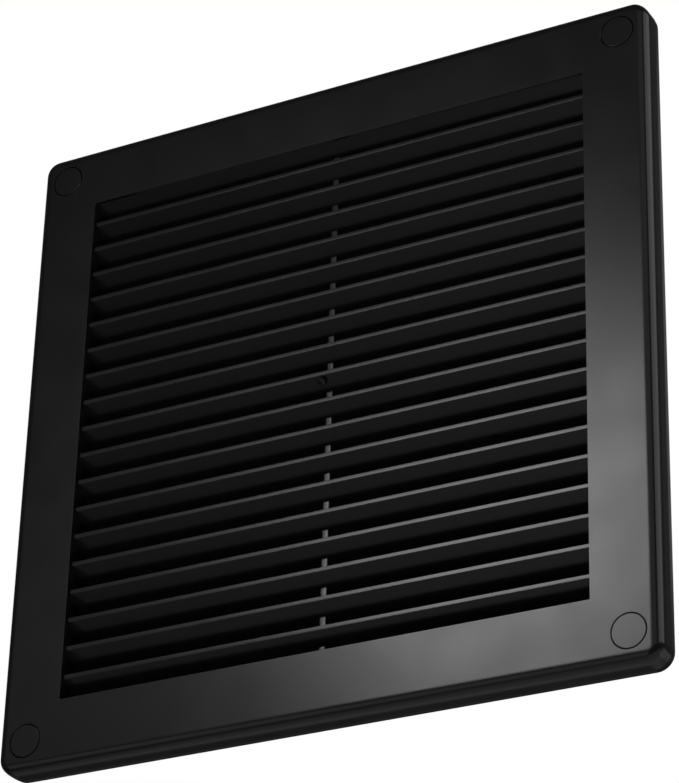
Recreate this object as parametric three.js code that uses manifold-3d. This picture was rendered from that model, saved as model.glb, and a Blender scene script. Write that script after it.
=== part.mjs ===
// Louvred air grille for a wall opening: a square flange with a rounded rim, a short
// duct collar behind it, fixed louvre blades on a comb rib, an insect screen in a
// push-in frame, and a screw with a snap-in cover cap in each corner.
//
// Millimetres, +Z up. The wall plane is y = 0, the grille faces -Y, and the origin is
// the centre of the flange on the wall plane. The collar reaches into the wall, +Y.
import * as THREE from "three";
import { mergeVertices } from "three/addons/utils/BufferGeometryUtils.js";
import Module from "manifold-3d";

const wasm = await Module();
wasm.setup();

// ---- Driving dimensions ----

// Flange
const flangeWidth = 250;
const flangeHeight = 250;
const borderWidth = 24.5; // visible face between the outer edge and the air opening
const flangeDepth = 11.5; // wall plane to front face
const faceThickness = 2;
const rimThickness = 2;
const cornerRadius = 6.5; // outer corners, seen from the front
const rollWidth = 3.6; // soft roll of the rim, outer edge to flat face
const rollDepth = 5; // and face to straight side
const rollFacePull = 2.8; // how long the roll follows the face and the side
const rollSidePull = 3.2;
const rollSteps = 10;
const rimFootWidth = 0.32; // the rim draws in a little towards the wall
const rimFootHeight = 2.8;
const openingEdge = 0.3; // small chamfer round the front of the air opening

// Collar that enters the wall, and the ribs in the hollow back
const collarThickness = 2;
const collarLength = 12; // beyond the wall plane
const stiffenerThickness = 1.4;
const stiffenerSetback = 1; // from the wall plane
const stiffenerPitch = 42;

// Louvres
const bladePitch = 10.8;
const bladeRecess = 1.2; // front face to the blades' front edges
const bladeEdge = 1.6; // height of a blade's front edge
const bladeDepth = 7.6;
const bladeAngle = 45; // slope down towards the back, degrees
const bladeFloorGap = 0.25; // least gap from the last blade's back edge to the opening's sill
const pocketDepth = 0.8; // pockets in the collar walls for the ends of blades and comb
const bladeClearance = 0.15;

// Comb rib that ties the blades together
const combThickness = 2.4;
const combFrontSetback = 5.5; // front face to the comb's front edge
const combSpine = 1.4; // solid strip behind the blades

// Moulding gate stub on the underside of one blade
const gateDiameter = 3.2;
const gateLength = 1.6;
const gateSetback = 1.5; // behind the blade's front edge
const gateOffset = -1.3; // sideways from the middle
const gateSteps = 24;

// Insect screen and its push-in frame
const screenGap = 0.3; // comb to screen frame
const screenFrameWidth = 6;
const screenFrameDepth = 4;
const screenSideClearance = 0.3;
const screenThickness = 0.4;
const screenRebateWidth = 3;
const screenRebateDepth = 0.6;
const screenFit = 0.1;

// Corner screws and cover caps
const screwInset = 11.2; // from the flange's outer edges
const bossWall = 1.95; // round the cap's recess
const bossFloor = 3; // material under the screw head
const capDiameter = 11.9;
const capGap = 0.3;
const capPlate = 1.4;
const capSkirtThickness = 0.9;
const capSkirtInset = 0.35; // skirt is this much smaller in radius than the plate
const capFloorGap = 0.4;
const capEdge = 0.2;
const headDiameter = 7.6;
const headHeight = 2.5;
const headDomeWidth = 0.9; // the head's front edge is rounded in two steps
const headDomeHeight = 1.5;
const shankDiameter = 4;
const screwLength = 16; // under the head
const screwHoleClearance = 0.25;
const seatGap = 0.05; // screw head to its seat
const driveWidth = 1;
const driveSpan = 4.2;
const driveDepth = 1.3;
const screwTip = 4;

const roundSteps = 48;
const cornerSteps = 10;

// ---- Sizes worked out from the driving dimensions ----

const openingWidth = flangeWidth - 2 * borderWidth;
const openingHeight = flangeHeight - 2 * borderWidth;
const collarWidth = openingWidth + 2 * collarThickness;
const collarHeight = openingHeight + 2 * collarThickness;
const faceY = -flangeDepth;
const bladeFrontY = faceY + bladeRecess;
const bladeBackY = bladeFrontY + bladeDepth;
const bladeDrop = bladeDepth * Math.tan(THREE.MathUtils.degToRad(bladeAngle));
const bladeEndMargin = bladeEdge / 2 + bladeDrop + bladeFloorGap;
const bladeCount = 1 + Math.floor((openingHeight - 2 * bladeEndMargin) / bladePitch);
const firstBladeZ = ((bladeCount - 1) * bladePitch) / 2;
const bladeLength = openingWidth + 2 * (pocketDepth - bladeClearance);
const combFrontY = faceY + combFrontSetback;
const combBackY = bladeBackY + combSpine;
const screenFrontY = combBackY + screenGap;
const screenFrameOuterWidth = openingWidth - 2 * screenSideClearance;
const screenFrameOuterHeight = openingHeight - 2 * screenSideClearance;
const screenWindowWidth = screenFrameOuterWidth - 2 * screenFrameWidth;
const screenWindowHeight = screenFrameOuterHeight - 2 * screenFrameWidth;
const bossFloorY = -bossFloor;
const bossRadius = capDiameter / 2 + capGap + bossWall;
const capRecessRadius = capDiameter / 2 + capGap;
const headFrontY = bossFloorY - seatGap - headHeight;
const past = 1; // how far a cutter runs past what it cuts

// ---- Materials ----

const blackPlastic = new THREE.MeshStandardMaterial({
  color: 0x1a1a1b,
  roughness: 0.38,
  metalness: 0,
});
const screenNet = new THREE.MeshStandardMaterial({
  color: 0x2b2c2d,
  roughness: 0.6,
  metalness: 0,
});
const zincSteel = new THREE.MeshStandardMaterial({
  color: 0xb9bcc0,
  roughness: 0.3,
  metalness: 1,
});

// ---- Solids ----

// A closed three.js geometry as a manifold solid.
function solidOf(geometry) {
  const bare = geometry.clone();
  bare.deleteAttribute("normal");
  bare.deleteAttribute("uv");
  const merged = mergeVertices(bare, 1e-4);
  return new wasm.Manifold(
    new wasm.Mesh({
      numProp: 3,
      vertProperties: merged.attributes.position.array,
      triVerts: Uint32Array.from(merged.index.array),
    }),
  );
}

// A manifold solid as a flat-shaded three.js geometry.
function geometryOf(solid) {
  const mesh = solid.getMesh();
  const indexed = new THREE.BufferGeometry();
  indexed.setAttribute(
    "position",
    new THREE.BufferAttribute(Float32Array.from(mesh.vertProperties), 3),
  );
  indexed.setIndex(new THREE.BufferAttribute(Uint32Array.from(mesh.triVerts), 1));
  const geometry = indexed.toNonIndexed();
  geometry.computeVertexNormals();
  return geometry;
}

function joined(solids) {
  return solids.reduce((whole, piece) => whole.add(piece));
}

function extruded(shape, length) {
  return new THREE.ExtrudeGeometry(shape, {
    depth: length,
    bevelEnabled: false,
    curveSegments: cornerSteps,
  });
}

// A shape drawn in (x, y), standing between two heights.
function alongZ(shape, low, high) {
  return solidOf(extruded(shape, high - low).translate(0, 0, low));
}

// A shape drawn in (y, z), lying between two x values.
function alongX(shape, low, high) {
  const turn = new THREE.Matrix4().makeBasis(
    new THREE.Vector3(0, 1, 0),
    new THREE.Vector3(0, 0, 1),
    new THREE.Vector3(1, 0, 0),
  );
  return solidOf(extruded(shape, high - low).applyMatrix4(turn).translate(low, 0, 0));
}

// A shape drawn in (x, z), running between two y values.
function alongY(shape, front, back) {
  return solidOf(extruded(shape, back - front).rotateX(Math.PI / 2).translate(0, back, 0));
}

function box(width, front, back, height, x = 0, z = 0) {
  const block = new THREE.BoxGeometry(width, back - front, height);
  return solidOf(block.translate(x, (front + back) / 2, z));
}

// A round solid about a line parallel to Y, from (radius, y) profile points.
function turned(points, x = 0, z = 0) {
  const profile = points.map(([radius, y]) => new THREE.Vector2(radius, y));
  const closed = points[0][0] > 0 ? [...profile, profile[0]] : profile;
  return solidOf(new THREE.LatheGeometry(closed, roundSteps).translate(x, 0, z));
}

function cylinder(radius, front, back, x = 0, z = 0) {
  const profile = [
    [0, front],
    [radius, front],
    [radius, back],
    [0, back],
  ];
  return turned(profile, x, z);
}

function roundedRectangle(width, height, radius) {
  const x = width / 2;
  const z = height / 2;
  const shape = new THREE.Shape();
  shape.moveTo(-x + radius, -z);
  shape.lineTo(x - radius, -z);
  shape.absarc(x - radius, -z + radius, radius, -Math.PI / 2, 0);
  shape.lineTo(x, z - radius);
  shape.absarc(x - radius, z - radius, radius, 0, Math.PI / 2);
  shape.lineTo(-x + radius, z);
  shape.absarc(-x + radius, z - radius, radius, Math.PI / 2, Math.PI);
  shape.lineTo(-x, -z + radius);
  shape.absarc(-x + radius, -z + radius, radius, Math.PI, 1.5 * Math.PI);
  return shape;
}

// ---- Front frame: flange, collar, bosses and the sloping head of the opening ----

// Half of the flange's section as [distance in from the outer edge, y], wall to face.
function rimSection() {
  const sideY = faceY + rollDepth;
  const roll = new THREE.CubicBezierCurve(
    new THREE.Vector2(0, sideY),
    new THREE.Vector2(0, sideY - rollSidePull),
    new THREE.Vector2(rollWidth - rollFacePull, faceY),
    new THREE.Vector2(rollWidth, faceY),
  );
  const foot = [
    [rimFootWidth, 0],
    [0, -rimFootHeight],
  ];
  return [...foot, ...roll.getPoints(rollSteps).map(({ x, y }) => [x, y])];
}

// The flange's whole section across its width or height.
function flangeSection(size, swapAxes) {
  const half = rimSection();
  const right = half.map(([inset, y]) => [size / 2 - inset, y]);
  const left = half.map(([inset, y]) => [inset - size / 2, y]).reverse();
  const corners = [...right, ...left].map(([across, y]) =>
    swapAxes ? new THREE.Vector2(y, across) : new THREE.Vector2(across, y),
  );
  return new THREE.Shape(corners);
}

// Widening cutter for the front edge of the opening, as a section across it.
function flareSection(size, swapAxes) {
  const narrow = size / 2;
  const wide = size / 2 + openingEdge + past;
  const corners = [
    [-narrow, faceY + openingEdge],
    [narrow, faceY + openingEdge],
    [wide, faceY - past],
    [-wide, faceY - past],
  ].map(([across, y]) =>
    swapAxes ? new THREE.Vector2(y, across) : new THREE.Vector2(across, y),
  );
  return new THREE.Shape(corners);
}

// Two sections crossed at right angles, which meet in mitred corners.
function crossed(sectionOf, width, height) {
  const reachX = width / 2 + 2 * past;
  const reachZ = height / 2 + 2 * past;
  const upright = alongZ(sectionOf(width, false), -reachZ, reachZ);
  const level = alongX(sectionOf(height, true), -reachX, reachX);
  return upright.intersect(level);
}

// Section of one blade in (y, z), with its front edge centred on z, grown by a margin.
function bladeSection(z, margin = 0) {
  const rise = bladeEdge / 2 + margin;
  const slope = bladeDrop / bladeDepth;
  const front = bladeFrontY - margin;
  const back = bladeBackY + margin;
  return new THREE.Shape([
    new THREE.Vector2(front, z - rise + slope * margin),
    new THREE.Vector2(back, z - rise - bladeDrop - slope * margin),
    new THREE.Vector2(back, z + rise - bladeDrop - slope * margin),
    new THREE.Vector2(front, z + rise + slope * margin),
  ]);
}

function bladeZ(index) {
  return firstBladeZ - index * bladePitch;
}

const corners = [
  { name: "top_left", x: -1, z: 1 },
  { name: "top_right", x: 1, z: 1 },
  { name: "bottom_left", x: -1, z: -1 },
  { name: "bottom_right", x: 1, z: -1 },
].map(({ name, x, z }) => ({
  name,
  x: x * (flangeWidth / 2 - screwInset),
  z: z * (flangeHeight / 2 - screwInset),
}));

// Ribs across the hollow between the rim and the collar.
function stiffeners() {
  const front = faceY + faceThickness / 2;
  const back = -stiffenerSetback;
  const hollowX = (flangeWidth - collarWidth) / 2 - rimThickness;
  const hollowZ = (flangeHeight - collarHeight) / 2 - rimThickness;
  const ribs = [];
  const placesAlong = (length) => {
    const pairs = Math.floor((length / 2 - screwInset - 2 * bossRadius) / stiffenerPitch);
    return Array.from({ length: 2 * pairs + 1 }, (_, i) => (i - pairs) * stiffenerPitch);
  };
  for (const side of [-1, 1]) {
    const x = side * (collarWidth / 2 + hollowX / 2);
    const z = side * (collarHeight / 2 + hollowZ / 2);
    for (const place of placesAlong(flangeHeight))
      ribs.push(box(hollowX + past, front, back, stiffenerThickness, x, place));
    for (const place of placesAlong(flangeWidth))
      ribs.push(box(stiffenerThickness, front, back, hollowZ + past, place, z));
  }
  return ribs;
}

// Sloping plate under the head of the opening, parallel to the blades.
function headPlate() {
  const z = openingHeight / 2 + bladeEdge / 2;
  const reach = openingWidth / 2 + collarThickness / 2;
  return alongX(bladeSection(z), -reach, reach);
}

function makeFrontFrame() {
  const outline = roundedRectangle(flangeWidth, flangeHeight, cornerRadius);
  let frame = crossed(flangeSection, flangeWidth, flangeHeight).intersect(
    alongY(outline, faceY - past, past),
  );
  const hollow = alongY(
    roundedRectangle(
      flangeWidth - 2 * rimThickness,
      flangeHeight - 2 * rimThickness,
      cornerRadius - rimThickness,
    ),
    faceY + faceThickness,
    past,
  );
  frame = frame.subtract(hollow);
  const collar = box(collarWidth, faceY + faceThickness / 2, collarLength, collarHeight);
  const bosses = corners.map(({ x, z }) =>
    cylinder(bossRadius, faceY + faceThickness / 2, 0, x, z),
  );
  frame = joined([frame, collar, ...bosses, ...stiffeners()]);
  frame = frame.subtract(
    box(openingWidth, faceY - past, collarLength + past, openingHeight),
  );
  frame = frame.subtract(crossed(flareSection, openingWidth, openingHeight));
  frame = frame.subtract(
    box(
      combThickness + 2 * bladeClearance,
      combFrontY - bladeClearance,
      combBackY + bladeClearance,
      openingHeight + 2 * pocketDepth,
    ),
  );
  frame = frame.add(headPlate());
  for (const { x, z } of corners) {
    frame = frame.subtract(cylinder(capRecessRadius, faceY - past, bossFloorY, x, z));
    const holeRadius = shankDiameter / 2 + screwHoleClearance;
    frame = frame.subtract(cylinder(holeRadius, bossFloorY - past, past, x, z));
  }
  const pocketReach = openingWidth / 2 + pocketDepth;
  for (let i = 0; i < bladeCount; i++) {
    const pocket = bladeSection(bladeZ(i), bladeClearance);
    frame = frame.subtract(alongX(pocket, -pocketReach, pocketReach));
  }
  return frame;
}

// ---- Louvre blades and the comb rib ----

const louvreSection = bladeSection(0);

function makeBlade() {
  return alongX(louvreSection, -bladeLength / 2, bladeLength / 2);
}

// The blade that carries the moulding gate: a short stub square to its underside.
function makeGatedBlade() {
  const slope = THREE.MathUtils.degToRad(bladeAngle);
  const stub = new THREE.CylinderGeometry(
    gateDiameter / 2,
    gateDiameter / 2,
    gateLength + bladeEdge / 2,
    gateSteps,
  );
  stub.translate(0, -(gateLength - bladeEdge / 2) / 2, 0);
  stub.rotateX(-slope);
  stub.translate(
    gateOffset,
    bladeFrontY + gateSetback,
    -bladeEdge / 2 - gateSetback * Math.tan(slope),
  );
  return makeBlade().add(solidOf(stub));
}

// Section of the space that the head plate takes, and all that lies above it.
function headSpace() {
  const slope = bladeDrop / bladeDepth;
  const front = combFrontY - past;
  const back = bladeBackY + bladeClearance;
  const top = openingHeight / 2 + pocketDepth + past;
  const undersideZ = (y) => openingHeight / 2 - slope * (y - bladeFrontY) - bladeClearance;
  return new THREE.Shape([
    new THREE.Vector2(front, undersideZ(front)),
    new THREE.Vector2(back, undersideZ(back)),
    new THREE.Vector2(back, top),
    new THREE.Vector2(front, top),
  ]);
}

function makeCombRib() {
  const height = openingHeight + 2 * (pocketDepth - bladeClearance);
  const reach = combThickness;
  let comb = box(combThickness, combFrontY, combBackY, height);
  for (let i = 0; i < bladeCount; i++) {
    const slot = bladeSection(bladeZ(i), bladeClearance);
    comb = comb.subtract(alongX(slot, -reach, reach));
  }
  return comb.subtract(alongX(headSpace(), -reach, reach));
}

// ---- Insect screen ----

function makeScreenFrame() {
  const back = screenFrontY + screenFrameDepth;
  const ring = box(screenFrameOuterWidth, screenFrontY, back, screenFrameOuterHeight);
  const window = box(
    screenWindowWidth,
    screenFrontY - past,
    back + past,
    screenWindowHeight,
  );
  const rebate = box(
    screenWindowWidth + 2 * screenRebateWidth,
    screenFrontY - past,
    screenFrontY + screenRebateDepth,
    screenWindowHeight + 2 * screenRebateWidth,
  );
  return ring.subtract(window).subtract(rebate);
}

function makeInsectScreen() {
  const back = screenFrontY + screenRebateDepth - screenFit;
  return box(
    screenWindowWidth + 2 * (screenRebateWidth - screenFit),
    back - screenThickness,
    back,
    screenWindowHeight + 2 * (screenRebateWidth - screenFit),
  );
}

// ---- Screws and caps, made about the line x = z = 0 ----

function makeScrew() {
  const head = headDiameter / 2;
  const shank = shankDiameter / 2;
  const seatY = bossFloorY - seatGap;
  const endY = seatY + screwLength;
  const body = turned([
    [0, headFrontY],
    [head - headDomeWidth, headFrontY],
    [head - headDomeWidth / 4, headFrontY + headDomeHeight / 2],
    [head, headFrontY + headDomeHeight],
    [head, seatY],
    [shank, seatY],
    [shank, endY - screwTip],
    [0, endY],
  ]);
  const driveBack = headFrontY + driveDepth;
  const across = box(driveSpan, headFrontY - past, driveBack, driveWidth);
  const upright = box(driveWidth, headFrontY - past, driveBack, driveSpan);
  return body.subtract(across).subtract(upright);
}

function makeCap() {
  const plate = capDiameter / 2;
  const skirtOuter = plate - capSkirtInset;
  const skirtInner = skirtOuter - capSkirtThickness;
  const plateBack = faceY + capPlate;
  const skirtBack = bossFloorY - capFloorGap;
  return turned([
    [0, faceY],
    [plate - capEdge, faceY],
    [plate, faceY + capEdge],
    [plate, plateBack],
    [skirtOuter, plateBack],
    [skirtOuter, skirtBack],
    [skirtInner, skirtBack],
    [skirtInner, plateBack],
    [0, plateBack],
  ]);
}

// ---- Assembly ----

function named(name, geometry, material, place = [0, 0, 0]) {
  const mesh = new THREE.Mesh(geometry, material);
  mesh.name = name;
  mesh.position.set(...place);
  return mesh;
}

const grille = new THREE.Group();
grille.add(named("front_frame", geometryOf(makeFrontFrame()), blackPlastic));

const louvres = new THREE.Group();
const bladeGeometry = geometryOf(makeBlade());
const gatedGeometry = geometryOf(makeGatedBlade());
const gatedBlade = Math.ceil(bladeCount / 2) - 1;
for (let i = 0; i < bladeCount; i++) {
  const name = `louvre_blade_${String(i + 1).padStart(2, "0")}`;
  const geometry = i === gatedBlade ? gatedGeometry : bladeGeometry;
  louvres.add(named(name, geometry, blackPlastic, [0, 0, bladeZ(i)]));
}
louvres.add(named("comb_rib", geometryOf(makeCombRib()), blackPlastic));
grille.add(louvres);

const screen = new THREE.Group();
screen.add(named("screen_frame", geometryOf(makeScreenFrame()), blackPlastic));
screen.add(named("insect_screen", geometryOf(makeInsectScreen()), screenNet));
grille.add(screen);

const screwGeometry = geometryOf(makeScrew());
const capGeometry = geometryOf(makeCap());
for (const { name, x, z } of corners) {
  const fixing = new THREE.Group();
  fixing.position.set(x, 0, z);
  fixing.add(named(`fixing_screw_${name}`, screwGeometry, zincSteel));
  fixing.add(named(`screw_cap_${name}`, capGeometry, blackPlastic));
  grille.add(fixing);
}

export default grille;
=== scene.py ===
"""Louvred air grille: finished surfaces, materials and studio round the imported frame.

Metres, +Z up. The wall plane is y = 0, the grille faces -Y, and the origin is the
centre of the flange on the wall plane.
"""

import math

import bmesh
import bpy
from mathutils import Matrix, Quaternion, Vector
from mathutils.geometry import interpolate_bezier


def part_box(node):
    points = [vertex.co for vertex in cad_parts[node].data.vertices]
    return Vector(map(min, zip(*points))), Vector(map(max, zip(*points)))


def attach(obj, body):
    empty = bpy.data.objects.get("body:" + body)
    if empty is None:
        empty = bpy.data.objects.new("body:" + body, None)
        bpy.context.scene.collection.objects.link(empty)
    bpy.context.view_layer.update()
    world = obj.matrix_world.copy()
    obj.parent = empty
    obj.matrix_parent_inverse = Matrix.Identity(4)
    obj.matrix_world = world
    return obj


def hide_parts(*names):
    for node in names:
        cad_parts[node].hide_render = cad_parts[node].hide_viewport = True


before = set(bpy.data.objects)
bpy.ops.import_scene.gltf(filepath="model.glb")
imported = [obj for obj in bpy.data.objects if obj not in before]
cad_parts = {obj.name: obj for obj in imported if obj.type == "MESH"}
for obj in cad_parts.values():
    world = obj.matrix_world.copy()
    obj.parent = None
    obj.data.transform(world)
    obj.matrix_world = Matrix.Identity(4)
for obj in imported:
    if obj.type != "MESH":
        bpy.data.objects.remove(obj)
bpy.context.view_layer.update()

MM = 0.001

# ---- Sizes of the finished surfaces, in metres ----

# Front frame
CORNER_RADIUS = 6.5 * MM  # outer corners, seen from the front
FACE_RADIUS = 1.2 * MM  # corners of the flat face
ROLL_WIDTH = 3.6 * MM  # soft roll of the rim, outer edge to flat face
ROLL_DEPTH = 5 * MM  # and face to straight side
ROLL_FACE_PULL = 2.8 * MM  # how long the roll follows the face and the side
ROLL_SIDE_PULL = 3.2 * MM
FOOT_WIDTH = 0.32 * MM  # the side draws in a little towards the wall
FOOT_HEIGHT = 2.8 * MM
RIM_THICKNESS = 2 * MM
FACE_THICKNESS = 2 * MM
COLLAR_THICKNESS = 2 * MM
OPENING_EDGE = 0.15 * MM  # rounding round the front of the opening
INNER_RADIUS = 0.4 * MM  # corners of the opening and the collar
SMALL_ROUND = 0.3 * MM  # edges that only the back shows
SUPPORT = 0.5 * MM  # strip beside each rounding that keeps the face's shading flat
HAIR = 0.05 * MM  # keeps two outlines out of one plane until they are bridged
CORNER_STEPS = 8
ROLL_STEPS = 14
OPENING_STEPS = 4

# Screw bosses and the ribs in the hollow back
BOSS_WALL = 1.95 * MM
BOSS_FLOOR = 3 * MM
CAP_GAP = 0.3 * MM
RECESS_EDGE = 0.12 * MM
SCREW_HOLE_GAP = 0.25 * MM
STIFFENER_THICKNESS = 1.4 * MM
STIFFENER_SETBACK = 1 * MM
STIFFENER_PITCH = 42 * MM
STIFFENER_PAIRS = 2

# Louvres and comb rib
BLADE_EDGE = 1.6 * MM  # height of a blade's front edge
BLADE_GRIP = 0.65 * MM  # length of a blade's end inside the side wall
BLADE_ROUND = 0.22 * MM
COMB_ROUND = 0.3 * MM
GATE_RADIUS = 1.6 * MM
GATE_LENGTH = 2.4 * MM
GATE_ROOT = 0.8 * MM  # how far the stub starts inside its louvre
GATE_SETBACK = 1.5 * MM  # from the louvre's front, along y and z
GATE_OFFSET = -1.3 * MM  # from the middle, along x
GATE_ROUND = 0.25 * MM
SCAR_INSET = 0.55 * MM
SCAR_DEPTH = 0.45 * MM
GATE_STEPS = 32

# Screen
SCREEN_BAR = 6 * MM
REBATE_WIDTH = 3 * MM
REBATE_DEPTH = 0.6 * MM
NET_PITCH = 2.4 * MM
NET_STRAND = 0.36 * MM
STRAND_SIDES = 8
STRAND_CREASE = 50  # degrees: smooth round a strand, sharp at its ends

# Screws and caps
HEAD_EDGE = 0.5 * MM  # a unit of the dome at the head's edge
SEAT_GAP = 0.05 * MM  # between the head and its boss
DRIVE_WIDTH = 1 * MM
DRIVE_SPAN = 4.2 * MM
DRIVE_DEPTH = 1.3 * MM
SHANK_RADIUS = 2 * MM
SHANK_LENGTH = 3.4 * MM  # plain part under the head
THREAD_START = 4 * MM  # from the head's seat
THREAD_PITCH = 1.8 * MM
THREAD_HEIGHT = 0.45 * MM
THREAD_HALF = 0.32 * THREAD_PITCH  # half the ridge's width at its root
THREAD_ROOT = 0.2 * MM  # how far the ridge starts inside the core
CORE_RADIUS = 1.5 * MM
TIP_LENGTH = 4 * MM
TIP_RADIUS = 0.12 * MM
SCREW_STEPS = 40
THREAD_STEPS = 24
SCREW_CREASE = 35  # degrees
CAP_PLATE = 1.4 * MM
CAP_SKIRT = 0.9 * MM
CAP_SKIRT_INSET = 0.35 * MM
CAP_EDGE = 0.15 * MM
CIRCLE_STEPS = 64

CREASE = 30  # degrees: edges sharper than this stay sharp
FACING = 0.99  # how squarely a face looks one way, as a cosine, to be picked for it
CUT_PAST = 1 * MM  # how far a cutter reaches past what it cuts

CORNERS = ("top_left", "top_right", "bottom_left", "bottom_right")


# ---- Modelling helpers ----


def clear_selection():
    """Leaves edit mode and deselects everything."""
    if bpy.context.object and bpy.context.object.mode != "OBJECT":
        bpy.ops.object.mode_set(mode="OBJECT")
    bpy.ops.object.select_all(action="DESELECT")


def pick(piece):
    """Makes piece the only selected object."""
    clear_selection()
    piece.select_set(True)
    bpy.context.view_layer.objects.active = piece


def set_place():
    """Puts the active piece's place, turn and size into its mesh."""
    bpy.ops.object.transform_apply(location=True, rotation=True, scale=True)


def renamed(name):
    """Names the active piece and its mesh, and returns it."""
    piece = bpy.context.object
    piece.name = name
    piece.data.name = name
    return piece


def block(name, low, high):
    """A box between two corners."""
    clear_selection()
    low, high = Vector(low), Vector(high)
    bpy.ops.mesh.primitive_cube_add(size=1, location=(low + high) / 2, scale=high - low)
    set_place()
    return renamed(name)


def post(name, centre, radius, front, back, steps=CIRCLE_STEPS):
    """A cylinder parallel to Y, about the line through centre."""
    clear_selection()
    bpy.ops.mesh.primitive_cylinder_add(
        vertices=steps,
        radius=radius,
        depth=back - front,
        location=(centre.x, (front + back) / 2, centre.z),
        rotation=(math.pi / 2, 0, 0),
    )
    set_place()
    return renamed(name)


def select_where(piece, kind, test):
    """In edit mode, selects only the vertices, edges or faces that pass test."""
    bpy.ops.mesh.select_mode(type=kind)
    bpy.ops.mesh.select_all(action="DESELECT")
    shape = bmesh.from_edit_mesh(piece.data)
    parts = {"VERT": shape.verts, "EDGE": shape.edges, "FACE": shape.faces}[kind]
    for part in parts:
        if test(part):
            part.select_set(True)
    shape.select_flush_mode()
    bmesh.update_edit_mesh(piece.data)


def edit(piece):
    pick(piece)
    bpy.ops.object.mode_set(mode="EDIT")


def done():
    bpy.ops.object.mode_set(mode="OBJECT")


def apply_modifier(piece, kind, **settings):
    pick(piece)
    modifier = piece.modifiers.new(kind.lower(), kind)
    for key, value in settings.items():
        setattr(modifier, key, value)
    bpy.ops.object.modifier_apply(modifier=modifier.name)


def combine(piece, tool, operation, keep_tool=False):
    """Joins tool to piece, or cuts it away."""
    apply_modifier(piece, "BOOLEAN", object=tool, operation=operation, solver="EXACT")
    if not keep_tool:
        bpy.data.objects.remove(tool)


def together(pieces, name):
    """One object from several."""
    clear_selection()
    for piece in pieces:
        piece.select_set(True)
    bpy.context.view_layer.objects.active = pieces[0]
    bpy.ops.object.join()
    return renamed(name)


def copied(piece, name, shift=(0, 0, 0)):
    """A copy with its own mesh, moved by shift."""
    pick(piece)
    bpy.ops.object.duplicate()
    bpy.ops.transform.translate(value=shift)
    set_place()
    return renamed(name)


def smoothed(piece, angle=CREASE):
    """Smooth shading that leaves flat faces flat and keeps edges sharper than angle."""
    edit(piece)
    bpy.ops.mesh.select_mode(type="EDGE")
    bpy.ops.mesh.select_all(action="DESELECT")
    bpy.ops.mesh.edges_select_sharp(sharpness=math.radians(angle))
    bpy.ops.mesh.mark_sharp()
    done()
    bpy.ops.object.shade_smooth_by_angle(angle=math.radians(angle))
    apply_modifier(piece, "WEIGHTED_NORMAL", keep_sharp=True)
    return piece


def skinned(name, outlines, closed):
    """A closed body over a row of outlines, each made by a call that adds it."""
    clear_selection()
    bpy.ops.mesh.primitive_plane_add(size=MM)
    piece = renamed(name)
    edit(piece)
    bpy.ops.mesh.select_mode(type="VERT")
    bpy.ops.mesh.delete(type="VERT")
    rows = []
    for add_outline in outlines:
        add_outline()
        shape = bmesh.from_edit_mesh(piece.data)
        shape.verts.index_update()
        rows.append({v.index for v in shape.verts if not v.hide})
        bpy.ops.mesh.select_all(action="SELECT")
        bpy.ops.mesh.hide()
    bpy.ops.mesh.reveal(select=False)
    pairs = list(zip(rows, rows[1:]))
    if closed:
        pairs.append((rows[-1], rows[0]))
    for row, next_row in pairs:
        both = (row, next_row)
        select_where(
            piece,
            "EDGE",
            lambda e: any(all(v.index in r for v in e.verts) for r in both),
        )
        bpy.ops.mesh.bridge_edge_loops()
    if not closed:
        for row in (rows[0], rows[-1]):
            select_where(
                piece, "EDGE", lambda e: all(v.index in row for v in e.verts)
            )
            bpy.ops.mesh.edge_face_add()
    bpy.ops.mesh.select_all(action="SELECT")
    bpy.ops.mesh.normals_make_consistent(inside=False)
    done()
    return piece


def flattened(piece, *planes):
    """Brings the outlines a hair off each plane of constant y into it."""
    edit(piece)
    for y in planes:
        select_where(piece, "VERT", lambda v: abs(abs(v.co.y - y) - HAIR) < HAIR / 5)
        bpy.ops.transform.resize(value=(1, 0, 1), center_override=(0, y, 0))
    done()
    return piece


def rounded_outline(width, height, radius, y):
    """Adds a standing rounded rectangle, as edges."""

    def add():
        bpy.ops.mesh.primitive_plane_add(
            size=1, location=(0, y, 0), rotation=(math.pi / 2, 0, 0)
        )
        bpy.ops.transform.resize(value=(width, 1, height))
        bpy.ops.mesh.bevel(offset=radius, segments=CORNER_STEPS, affect="VERTICES")
        bpy.ops.mesh.delete(type="ONLY_FACE")

    return add


def round_outline(centre, radius, y, steps=CIRCLE_STEPS):
    """Adds a standing circle, as edges."""

    def add():
        bpy.ops.mesh.primitive_circle_add(
            vertices=steps,
            radius=radius,
            location=(centre.x, y, centre.z),
            rotation=(math.pi / 2, 0, 0),
        )

    return add


def turned(name, centre, profile, steps=CIRCLE_STEPS):
    """A round body about the line through centre, from (radius, y) stations."""
    return skinned(
        name, [round_outline(centre, r, y, steps) for r, y in profile], closed=False
    )


def centre_of(node):
    low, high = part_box(node)
    return (low + high) / 2


# ---- Front frame ----

frame_low, frame_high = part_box("front_frame")
blade_low, blade_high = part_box("louvre_blade_01")
FLANGE_WIDTH = frame_high.x - frame_low.x
FLANGE_HEIGHT = frame_high.z - frame_low.z
FACE_Y = frame_low.y
COLLAR_END = frame_high.y
OPENING_WIDTH = blade_high.x - blade_low.x - 2 * BLADE_GRIP
BORDER = (FLANGE_WIDTH - OPENING_WIDTH) / 2
OPENING_HEIGHT = FLANGE_HEIGHT - 2 * BORDER


def quarter(steps):
    """Angles of a quarter turn, ends included."""
    return [i / steps * math.pi / 2 for i in range(steps + 1)]


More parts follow.
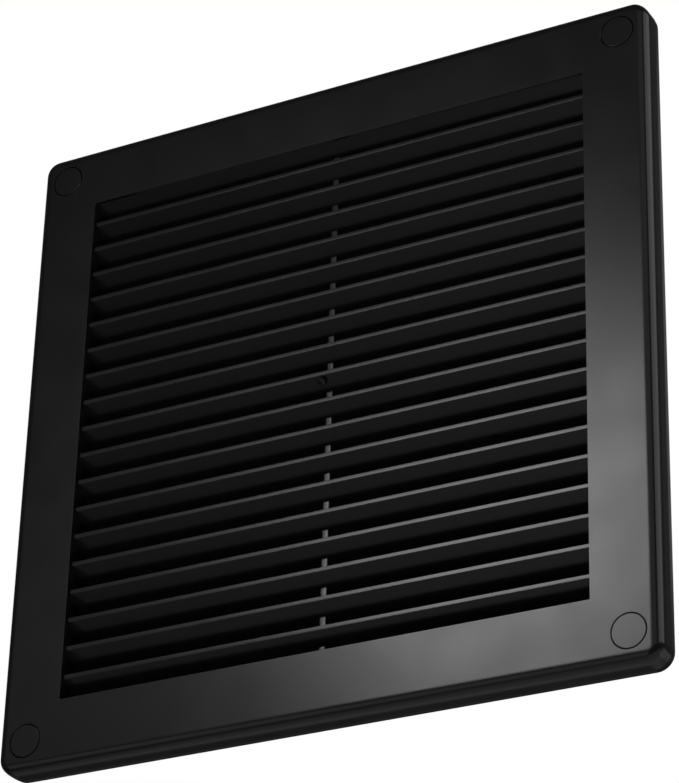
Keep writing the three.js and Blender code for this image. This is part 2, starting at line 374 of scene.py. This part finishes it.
def rim_stations():
    """(distance in from the outer edge, y, corner radius), from face to wall."""
    side = FACE_Y + ROLL_DEPTH
    roll = interpolate_bezier(
        (ROLL_WIDTH, FACE_Y),
        (ROLL_WIDTH - ROLL_FACE_PULL, FACE_Y),
        (0, side - ROLL_SIDE_PULL),
        (0, side),
        ROLL_STEPS,
    )
    support = (ROLL_WIDTH + SUPPORT, FACE_Y - HAIR)
    foot = [(0, -FOOT_HEIGHT - SUPPORT), (0, -FOOT_HEIGHT), (FOOT_WIDTH, 0)]
    stations = [support, *roll, *foot]

    def radius(inset):
        share = min(1, inset / ROLL_WIDTH)
        return CORNER_RADIUS + (FACE_RADIUS - CORNER_RADIUS) * share

    return [(inset, y, radius(inset)) for inset, y in stations]


def frame_stations():
    """The whole section of the frame, once round: rim, hollow back, collar, opening."""
    hollow = FACE_Y + FACE_THICKNESS
    hollow_radius = CORNER_RADIUS - RIM_THICKNESS
    collar = BORDER - COLLAR_THICKNESS
    end = COLLAR_END
    small = SMALL_ROUND
    back = [
        (RIM_THICKNESS - small, -HAIR, hollow_radius),
        (RIM_THICKNESS, -small, hollow_radius),
        (RIM_THICKNESS, hollow - small, hollow_radius),
        (RIM_THICKNESS + small, hollow, hollow_radius - small),
        (collar - small, hollow + HAIR, INNER_RADIUS),
        (collar, hollow + small, INNER_RADIUS),
        (collar, end - small, INNER_RADIUS),
        (collar + small, end, INNER_RADIUS),
        (BORDER - small, end - HAIR, INNER_RADIUS),
        (BORDER, end - small, INNER_RADIUS),
    ]
    front = [
        (
            BORDER - OPENING_EDGE * (1 - math.cos(angle)),
            FACE_Y + OPENING_EDGE * (1 - math.sin(angle)),
            INNER_RADIUS,
        )
        for angle in quarter(OPENING_STEPS)
    ]
    support = (BORDER - OPENING_EDGE - SUPPORT, FACE_Y + HAIR, INNER_RADIUS)
    return rim_stations() + back + front + [support]


def stiffener_blocks():
    """Ribs across the hollow between the rim and the collar."""
    front = FACE_Y + FACE_THICKNESS / 2
    back = -STIFFENER_SETBACK
    insets = (RIM_THICKNESS / 2, BORDER - COLLAR_THICKNESS / 2)
    half = STIFFENER_THICKNESS / 2
    ribs = []
    for step in range(-STIFFENER_PAIRS, STIFFENER_PAIRS + 1):
        place = step * STIFFENER_PITCH
        for side in (-1, 1):
            x = sorted(side * (FLANGE_WIDTH / 2 - inset) for inset in insets)
            z = sorted(side * (FLANGE_HEIGHT / 2 - inset) for inset in insets)
            across = ((x[0], front, place - half), (x[1], back, place + half))
            upright = ((place - half, front, z[0]), (place + half, back, z[1]))
            ribs += [block("rib", *across), block("rib", *upright)]
    return ribs


def blade_solid(name, low, high, rounding):
    """A sloping louvre in the box between low and high, its front edge on top."""
    edge_low = (low.x, low.y, high.z - BLADE_EDGE)
    piece = block(name, edge_low, high)
    edit(piece)
    select_where(piece, "FACE", lambda f: f.normal.y > FACING)
    drop = high.z - low.z - BLADE_EDGE
    bpy.ops.transform.translate(value=(0, 0, -drop))
    if rounding:
        select_where(
            piece, "EDGE", lambda e: abs(e.verts[0].co.x - e.verts[1].co.x) > low.length
        )
        bpy.ops.mesh.bevel(offset=rounding, segments=3, affect="EDGES")
    done()
    return piece


def head_plate():
    """Sloping plate under the head of the opening, parallel to the louvres."""
    rise = Vector((0, 0, OPENING_HEIGHT / 2 + BLADE_EDGE - blade_high.z))
    reach = Vector((COLLAR_THICKNESS / 2 - BLADE_GRIP, 0, 0))
    low, high = blade_low + rise - reach, blade_high + rise + reach
    return blade_solid("head_plate", low, high, 0)


def recess_cutters():
    """A recess for each cap, with a fine broken edge, and the screw hole behind it."""
    cutters = []
    for corner in CORNERS:
        low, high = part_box(f"screw_cap_{corner}")
        centre = (low + high) / 2
        recess = (high.x - low.x) / 2 + CAP_GAP
        hole = SHANK_RADIUS + SCREW_HOLE_GAP
        profile = [
            (recess + RECESS_EDGE + CUT_PAST, FACE_Y - CUT_PAST),
            (recess, FACE_Y + RECESS_EDGE),
            (recess, -BOSS_FLOOR),
            (hole, -BOSS_FLOOR),
            (hole, CUT_PAST),
        ]
        cutters.append(turned("recess", centre, profile))
    return cutters


def make_front_frame(louvres, comb):
    """Moulded flange, rim, collar, bosses and ribs, pocketed for louvres and comb."""
    outlines = [
        rounded_outline(
            FLANGE_WIDTH - 2 * inset, FLANGE_HEIGHT - 2 * inset, radius, y
        )
        for inset, y, radius in frame_stations()
    ]
    piece = skinned("grille_front_frame", outlines, closed=True)
    flattened(piece, FACE_Y, FACE_Y + FACE_THICKNESS, 0, COLLAR_END)
    cap_low, cap_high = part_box(f"screw_cap_{CORNERS[0]}")
    boss = (cap_high.x - cap_low.x) / 2 + CAP_GAP + BOSS_WALL
    front = FACE_Y + FACE_THICKNESS / 2
    for corner in CORNERS:
        centre = centre_of(f"screw_cap_{corner}")
        combine(piece, post("boss", centre, boss, front, 0), "UNION")
    combine(piece, together(stiffener_blocks(), "ribs"), "UNION")
    combine(piece, head_plate(), "UNION")
    combine(piece, together(recess_cutters(), "recesses"), "DIFFERENCE")
    pockets = [copied(louvre, "pocket") for louvre in louvres]
    combine(piece, together(pockets, "pockets"), "DIFFERENCE")
    combine(piece, comb, "DIFFERENCE", keep_tool=True)
    return smoothed(piece)


# ---- Louvres and comb rib ----


def louvre_nodes():
    """The louvres' CAD nodes, top to bottom."""
    return sorted(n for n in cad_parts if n.startswith("louvre_blade_"))


def gated_node():
    """The louvre that carries the gate stub, and so has the most vertices."""
    vertex_count = {n: len(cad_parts[n].data.vertices) for n in louvre_nodes()}
    return max(louvre_nodes(), key=vertex_count.get)


def gate_stub(top_z):
    """Round stub square to the louvre's underside, with a torn scar at its end."""
    clear_selection()
    slope = math.pi / 4
    centre = Vector(
        (GATE_OFFSET, blade_low.y + GATE_SETBACK, top_z - BLADE_EDGE - GATE_SETBACK)
    )
    down = Vector((0, -math.sin(slope), -math.cos(slope)))
    bpy.ops.mesh.primitive_cylinder_add(
        vertices=GATE_STEPS,
        radius=GATE_RADIUS,
        depth=GATE_LENGTH,
        location=centre + down * (GATE_LENGTH / 2 - GATE_ROOT),
        rotation=(-slope, 0, 0),
    )
    set_place()
    stub = renamed("gate_stub")
    edit(stub)
    select_where(stub, "FACE", lambda f: f.normal.dot(down) > FACING)
    bpy.ops.mesh.bevel(offset=GATE_ROUND, segments=2, affect="EDGES")
    select_where(stub, "FACE", lambda f: f.normal.dot(down) > FACING)
    bpy.ops.mesh.inset(thickness=SCAR_INSET)
    bpy.ops.mesh.extrude_region_move(
        TRANSFORM_OT_translate={"value": down * -SCAR_DEPTH}
    )
    done()
    return stub


def make_louvres():
    """All louvres as copies of one, and the gate stub on the one that carries it."""
    first = blade_solid("louvre", blade_low, blade_high, BLADE_ROUND)
    louvres = []
    for node in louvre_nodes():
        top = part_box(node)[1].z
        name = node.replace("louvre_blade", "moulded_louvre")
        louvre = copied(first, name, (0, 0, top - blade_high.z))
        if node == gated_node():
            combine(louvre, gate_stub(top), "UNION")
        louvres.append(smoothed(louvre))
    bpy.data.objects.remove(first)
    return louvres


def make_comb(louvres):
    """Upright rib behind the louvres' front edges, slotted where they pass through."""
    low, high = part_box("comb_rib")
    piece = block("moulded_comb_rib", low, (high.x, high.y, OPENING_HEIGHT / 2))
    edit(piece)
    select_where(
        piece,
        "EDGE",
        lambda e: abs(e.verts[0].co.z - e.verts[1].co.z) > MM
        and e.verts[0].co.y < (low.y + high.y) / 2,
    )
    bpy.ops.mesh.bevel(offset=COMB_ROUND, segments=3, affect="EDGES")
    bpy.ops.mesh.select_all(action="SELECT")
    bpy.ops.mesh.bisect(
        plane_co=(0, blade_low.y, OPENING_HEIGHT / 2),
        plane_no=(0, 1, 1),
        clear_outer=True,
        use_fill=True,
    )
    done()
    slots = [copied(louvre, "slot") for louvre in louvres]
    combine(piece, together(slots, "slots"), "DIFFERENCE")
    return smoothed(piece)


# ---- Screen ----


def make_screen_frame():
    """Square push-in frame, with a rebate in its front that the net is bonded to."""
    low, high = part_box("screen_frame")
    width, height = high.x - low.x, high.z - low.z
    small = SMALL_ROUND
    rebate = SCREEN_BAR - REBATE_WIDTH
    stations = [
        (small, low.y),
        (0, low.y + small),
        (0, high.y - small),
        (small, high.y),
        (SCREEN_BAR - 2 * small, high.y - HAIR),
        (SCREEN_BAR, high.y - 2 * small),
        (SCREEN_BAR, low.y + REBATE_DEPTH),
        (rebate, low.y + REBATE_DEPTH - HAIR),
        (rebate, low.y + HAIR),
    ]
    outlines = [
        rounded_outline(width - 2 * inset, height - 2 * inset, INNER_RADIUS, y)
        for inset, y in stations
    ]
    piece = skinned("moulded_screen_frame", outlines, closed=True)
    return smoothed(flattened(piece, low.y, low.y + REBATE_DEPTH, high.y))


def strand(name, start, end, axis):
    """One round strand of the net."""
    clear_selection()
    turn = (0, math.pi / 2, 0) if axis == "x" else (0, 0, 0)
    bpy.ops.mesh.primitive_cylinder_add(
        vertices=STRAND_SIDES,
        radius=NET_STRAND / 2,
        depth=(end - start).length,
        location=(start + end) / 2,
        rotation=turn,
    )
    set_place()
    return renamed(name)


def make_net():
    """Fine plastic net: round strands both ways, bonded where they cross."""
    low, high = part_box("insect_screen")
    radius = NET_STRAND / 2
    layers = (low.y + radius, high.y - radius)
    rows = math.floor((high.z - low.z - NET_STRAND) / NET_PITCH)
    columns = math.floor((high.x - low.x - NET_STRAND) / NET_PITCH)
    strands = []
    for i in range(rows + 1):
        z = (i - rows / 2) * NET_PITCH
        ends = Vector((low.x, layers[0], z)), Vector((high.x, layers[0], z))
        strands.append(strand("strand", *ends, "x"))
    for i in range(columns + 1):
        x = (i - columns / 2) * NET_PITCH
        ends = Vector((x, layers[1], low.z)), Vector((x, layers[1], high.z))
        strands.append(strand("strand", *ends, "z"))
    return smoothed(together(strands, "insect_net"), STRAND_CREASE)


# ---- Screws and caps ----


def make_thread(centre, start, end):
    """Helical ridge: a three-sided outline swept round the screw."""
    clear_selection()
    inner = CORE_RADIUS - THREAD_ROOT
    outer = CORE_RADIUS + THREAD_HEIGHT
    bpy.ops.mesh.primitive_circle_add(
        vertices=3, radius=THREAD_HALF, fill_type="NOTHING"
    )
    piece = renamed("thread")
    places = [(inner, -THREAD_HALF), (outer, 0), (inner, THREAD_HALF)]
    for vertex, (r, y) in zip(piece.data.vertices, places):
        vertex.co = (r, y, 0)
    turns = math.floor((end - start) / THREAD_PITCH)
    apply_modifier(
        piece,
        "SCREW",
        axis="Y",
        angle=2 * math.pi,
        screw_offset=THREAD_PITCH,
        iterations=turns,
        steps=THREAD_STEPS,
        render_steps=THREAD_STEPS,
        use_merge_vertices=False,
    )
    edit(piece)
    bpy.ops.mesh.select_mode(type="EDGE")
    bpy.ops.mesh.select_all(action="DESELECT")
    bpy.ops.mesh.select_non_manifold()
    bpy.ops.mesh.edge_face_add()
    bpy.ops.mesh.select_all(action="SELECT")
    bpy.ops.mesh.normals_make_consistent(inside=False)
    bpy.ops.transform.translate(value=(centre.x, start + THREAD_HALF, centre.z))
    done()
    return piece


def make_screw(corner):
    """Domed wood screw with a cross slot, a plain shank and a threaded core."""
    screw_node = f"fixing_screw_{corner}"
    low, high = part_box(screw_node)
    centre = (low + high) / 2
    head = (high.x - low.x) / 2
    seat = -BOSS_FLOOR - SEAT_GAP
    thread_start = seat + THREAD_START
    tip_start = high.y - TIP_LENGTH
    profile = [
        (head - 2 * HEAD_EDGE, low.y),
        (head - HEAD_EDGE, low.y + 0.4 * HEAD_EDGE),
        (head - 0.4 * HEAD_EDGE, low.y + HEAD_EDGE),
        (head, low.y + 2.4 * HEAD_EDGE),
        (head, seat),
        (SHANK_RADIUS, seat),
        (SHANK_RADIUS, seat + SHANK_LENGTH),
        (CORE_RADIUS, thread_start),
        (CORE_RADIUS, tip_start),
        (TIP_RADIUS, high.y),
    ]
    piece = turned(f"zinc_{screw_node}", centre, profile, SCREW_STEPS)
    front = Vector((centre.x, low.y - CUT_PAST, centre.z))
    back = Vector((centre.x, low.y + DRIVE_DEPTH, centre.z))
    for wide, tall in ((DRIVE_SPAN, DRIVE_WIDTH), (DRIVE_WIDTH, DRIVE_SPAN)):
        reach = Vector((wide / 2, 0, tall / 2))
        combine(piece, block("drive", front - reach, back + reach), "DIFFERENCE")
    combine(piece, make_thread(centre, thread_start, tip_start), "UNION")
    return smoothed(piece, SCREW_CREASE)


def make_cap(corner):
    """Flush round cap: a plate with a finely broken edge and a snap-in skirt."""
    cap_node = f"screw_cap_{corner}"
    low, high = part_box(cap_node)
    centre = (low + high) / 2
    plate = (high.x - low.x) / 2
    outer = plate - CAP_SKIRT_INSET
    inner = outer - CAP_SKIRT
    plate_back = low.y + CAP_PLATE
    profile = [
        (plate - CAP_EDGE, low.y),
        (plate - 0.3 * CAP_EDGE, low.y + 0.3 * CAP_EDGE),
        (plate, low.y + CAP_EDGE),
        (plate, plate_back),
        (outer, plate_back),
        (outer, high.y - CAP_EDGE),
        (outer - CAP_EDGE, high.y),
        (inner + CAP_EDGE, high.y),
        (inner, high.y - CAP_EDGE),
        (inner, plate_back),
    ]
    return smoothed(turned(f"moulded_{cap_node}", centre, profile))


# ---- Materials ----


# A Mix node has several inputs named A and B, so its colour ones go by number
MIX_A, MIX_B, MIX_RESULT = 6, 7, 2


def colour(code):
    """An sRGB hex colour as linear values, opaque."""
    channels = [int(code[i : i + 2], 16) / 255 for i in (1, 3, 5)]
    linear = [
        c / 12.92 if c <= 0.04045 else ((c + 0.055) / 1.055) ** 2.4 for c in channels
    ]
    return (*linear, 1.0)


def add_node(tree, kind, inputs=None, **settings):
    """Adds a node, sets its properties, and sets or links its inputs."""
    made = tree.nodes.new(kind)
    for key, value in settings.items():
        setattr(made, key, value)
    for key, value in (inputs or {}).items():
        if isinstance(value, bpy.types.NodeSocket):
            tree.links.new(value, made.inputs[key])
        else:
            made.inputs[key].default_value = value
    return made


def new_material(name):
    """An empty material and its node tree."""
    material = bpy.data.materials.new(name)
    material.use_nodes = True
    material.node_tree.nodes.clear()
    return material, material.node_tree


def moulded_plastic(name, dark, light, roughness, ripple_height):
    """Injection-moulded thermoplastic, coloured all through: a satin skin from a fine
    spark-eroded mould, and the faint cloudy ripple that cooling leaves in flat faces.

    The skin's real grain is under 0.1 mm. It is drawn coarser, so that it shows."""
    material, tree = new_material(name)
    place = add_node(tree, "ShaderNodeTexCoord").outputs["Object"]
    ripple_size = 16 * MM
    grain_size, grain_height = 0.9 * MM, 0.0009 * MM
    uneven = 0.012
    ripple = add_node(
        tree,
        "ShaderNodeTexNoise",
        {"Vector": place, "Scale": 1 / ripple_size, "Detail": 2.0, "Roughness": 0.45},
    )
    grain = add_node(
        tree,
        "ShaderNodeTexNoise",
        {"Vector": place, "Scale": 1 / grain_size, "Detail": 1.0, "Roughness": 0.6},
    )
    tint = add_node(
        tree,
        "ShaderNodeMix",
        {"Factor": ripple.outputs["Fac"], MIX_A: colour(dark), MIX_B: colour(light)},
        data_type="RGBA",
    )
    polish = add_node(
        tree,
        "ShaderNodeMapRange",
        {
            "Value": ripple.outputs["Fac"],
            "From Min": 0.3,
            "From Max": 0.7,
            "To Min": roughness - uneven,
            "To Max": roughness + uneven,
        },
    )
    rippled = add_node(
        tree,
        "ShaderNodeBump",
        {"Height": ripple.outputs["Fac"], "Strength": 1.0, "Distance": ripple_height},
    )
    grained = add_node(
        tree,
        "ShaderNodeBump",
        {
            "Height": grain.outputs["Fac"],
            "Strength": 1.0,
            "Distance": grain_height,
            "Normal": rippled.outputs["Normal"],
        },
    )
    shader = add_node(
        tree,
        "ShaderNodeBsdfPrincipled",
        {
            "Base Color": tint.outputs[MIX_RESULT],
            "Roughness": polish.outputs["Result"],
            "IOR": 1.5,
            "Normal": grained.outputs["Normal"],
        },
    )
    add_node(tree, "ShaderNodeOutputMaterial", {"Surface": shader.outputs["BSDF"]})
    return material


def zinc_plate():
    """Zinc-plated, clear-passivated steel: bright, faintly blue, with a fine mottle."""
    material, tree = new_material("zinc_plated_steel")
    place = add_node(tree, "ShaderNodeTexCoord").outputs["Object"]
    mottle_size = 1.2 * MM
    mottle = add_node(
        tree,
        "ShaderNodeTexNoise",
        {"Vector": place, "Scale": 1 / mottle_size, "Detail": 3.0},
    )
    tint = add_node(
        tree,
        "ShaderNodeMix",
        {
            "Factor": mottle.outputs["Fac"],
            MIX_A: colour("#a9b0b8"),
            MIX_B: colour("#cfd3d4"),
        },
        data_type="RGBA",
    )
    polish = add_node(
        tree,
        "ShaderNodeMapRange",
        {"Value": mottle.outputs["Fac"], "To Min": 0.2, "To Max": 0.4},
    )
    shader = add_node(
        tree,
        "ShaderNodeBsdfPrincipled",
        {
            "Base Color": tint.outputs[MIX_RESULT],
            "Metallic": 1.0,
            "Roughness": polish.outputs["Result"],
        },
    )
    add_node(tree, "ShaderNodeOutputMaterial", {"Surface": shader.outputs["BSDF"]})
    return material


def dress(piece, material, slot, body, *nodes):
    """Gives a finished piece its material and body, and hides its CAD nodes. The slot
    argument is not used.
    """
    piece.data.materials.clear()
    piece.data.materials.append(material)
    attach(piece, body)
    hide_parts(*nodes)


# ---- Studio ----

CAMERA_PLACE = (467.1 * MM, -840.0 * MM, -504.0 * MM)
CAMERA_TURN = (29.039, -27.804, 1.634)  # azimuth, elevation and roll, in degrees
CAMERA_LENS = 142.1
FLOOR_Z = -1.25
FLOOR_SIZE = 8
ROOM_LIGHT = 0.065


def aim(thing, target, turn=0.0):
    """Points a light's -Z at target, X level, then turns it about that line."""
    direction = Vector(target) - thing.location
    level = direction.to_track_quat("-Z", "Y")
    thing.rotation_mode = "QUATERNION"
    thing.rotation_quaternion = level @ Quaternion((0, 0, 1), math.radians(turn))


def soft_box(name, place, target, size, radiance, turn=0.0):
    """A rectangular soft light of a given brightness, not itself seen."""
    data = bpy.data.lights.new(name, "AREA")
    data.shape = "RECTANGLE"
    data.size, data.size_y = size
    data.energy = radiance * math.pi * size[0] * size[1]
    light = bpy.data.objects.new(name, data)
    light.location = place
    light.visible_camera = False
    bpy.context.scene.collection.objects.link(light)
    aim(light, target, turn)
    return light


def make_camera():
    """Below the grille and to its right, looking up at it, a little rolled."""
    data = bpy.data.cameras.new("camera")
    data.sensor_width = 36
    data.lens = CAMERA_LENS
    data.clip_end = 50
    camera = bpy.data.objects.new("camera", data)
    azimuth, elevation, roll = (math.radians(angle) for angle in CAMERA_TURN)
    forward = Vector(
        (
            -math.sin(azimuth) * math.cos(elevation),
            math.cos(azimuth) * math.cos(elevation),
            -math.sin(elevation),
        )
    )
    level = forward.to_track_quat("-Z", "Y")
    camera.location = CAMERA_PLACE
    camera.rotation_mode = "QUATERNION"
    camera.rotation_quaternion = level @ Quaternion((0, 0, 1), roll)
    bpy.context.scene.collection.objects.link(camera)
    bpy.context.scene.camera = camera


def show_and_reflect(tree, output, shown, reflected):
    """Ends a material or world: one look to the eye, another in reflections."""
    seen = add_node(tree, "ShaderNodeLightPath").outputs["Is Camera Ray"]
    looks = {0: seen, 1: reflected.outputs[0], 2: shown.outputs[0]}
    mixed = add_node(tree, "ShaderNodeMixShader", looks)
    add_node(tree, output, {"Surface": mixed.outputs[0]})


def make_floor():
    """Matt painted board: pale to the eye, and darker in the object's reflections."""
    clear_selection()
    bpy.ops.mesh.primitive_plane_add(size=FLOOR_SIZE, location=(0, 0, FLOOR_Z))
    floor = renamed("studio_floor")
    material, tree = new_material("pale_studio_floor")
    paint = add_node(tree, "ShaderNodeBsdfDiffuse", {"Color": colour("#959595")})
    pale = add_node(tree, "ShaderNodeEmission", {"Color": colour("#e5e5e4")})
    show_and_reflect(tree, "ShaderNodeOutputMaterial", pale, paint)
    floor.data.materials.append(material)


def make_world():
    """White behind the object, and a dim even room in its reflections."""
    world = bpy.data.worlds.new("studio")
    bpy.context.scene.world = world
    world.use_nodes = True
    tree = world.node_tree
    tree.nodes.clear()
    white, room = (
        add_node(
            tree,
            "ShaderNodeBackground",
            {"Color": colour("#ffffff"), "Strength": strength},
        )
        for strength in (1.0, ROOM_LIGHT)
    )
    show_and_reflect(tree, "ShaderNodeOutputWorld", white, room)


def make_studio():
    """White room, pale floor and unseen soft lights, all in metres."""
    make_world()
    make_floor()
    middle = (0, 0, 0)
    # Mirrored in the face as its one bright patch
    key_target = (0.109, FACE_Y, -0.067)
    soft_box("key", (-0.683, -1.646, 0.774), key_target, (0.394, 0.266), 7.2, 36)
    # Even greys on the face, the louvres and the front of the rim
    soft_box("left", (-1.15, -1.45, 0.55), (-0.11, 0, -0.1), (0.5, 0.4), 0.13)
    soft_box("front", (0.35, -1.7, 0.95), middle, (1.4, 0.9), 0.3)
    soft_box("horizon", (-0.85, -1.8, -0.5), middle, (1.1, 1.4), 0.33)
    # The rim's right side, and the hollow back
    soft_box("right_side", (1.3, 0.03, 0.72), middle, (1.8, 0.8), 0.95)
    soft_box("back_right", (1.7, 1.7, -0.65), middle, (1.4, 1.2), 0.35)
    soft_box("back_left", (-2.0, 1.3, 0.2), middle, (0.8, 0.8), 0.8)
    soft_box("back_top", (0.38, 1.7, 0.95), middle, (0.45, 0.5), 0.2)
    # Lights the floor that the rim's underside reflects
    wash_target = (1.51, 0.7, FLOOR_Z)
    soft_box("floor_wash", (1.51, 0.7, -0.85), wash_target, (5, 3.5), 0.95, 19)
    bpy.context.scene.view_settings.view_transform = "Standard"


# ---- Assembly ----

make_camera()
make_studio()

# ABS takes a satin skin, polypropylene a duller one, and drawn polyethylene is matt
black_abs = moulded_plastic(
    "black_moulded_abs", "#141415", "#19191a", roughness=0.2, ripple_height=0.006 * MM
)
cap_abs = moulded_plastic(
    "black_moulded_cap_abs",
    "#141415",
    "#18181a",
    roughness=0.2,
    ripple_height=0.003 * MM,
)
screen_plastic = moulded_plastic(
    "black_screen_polypropylene",
    "#151516",
    "#1c1c1e",
    roughness=0.32,
    ripple_height=0.006 * MM,
)
net_plastic = moulded_plastic(
    "grey_net_polyethylene",
    "#232425",
    "#2d2e30",
    roughness=0.45,
    ripple_height=0.002 * MM,
)
zinc = zinc_plate()

louvres = make_louvres()
comb = make_comb(louvres)
front_frame = make_front_frame(louvres, comb)
dress(front_frame, black_abs, "frame_plastic", "grille", "front_frame")
for louvre, louvre_node in zip(louvres, louvre_nodes()):
    dress(louvre, black_abs, "louvre_plastic", "grille", louvre_node)
dress(comb, black_abs, "louvre_plastic", "grille", "comb_rib")
screen_frame = make_screen_frame()
dress(screen_frame, screen_plastic, "screen_frame_plastic", "screen", "screen_frame")
dress(make_net(), net_plastic, "screen_net", "screen", "insect_screen")
for corner in CORNERS:
    screw, cap = make_screw(corner), make_cap(corner)
    dress(screw, zinc, "screw_steel", "grille", f"fixing_screw_{corner}")
    dress(cap, cap_abs, "cap_plastic", f"cap_{corner}", f"screw_cap_{corner}")
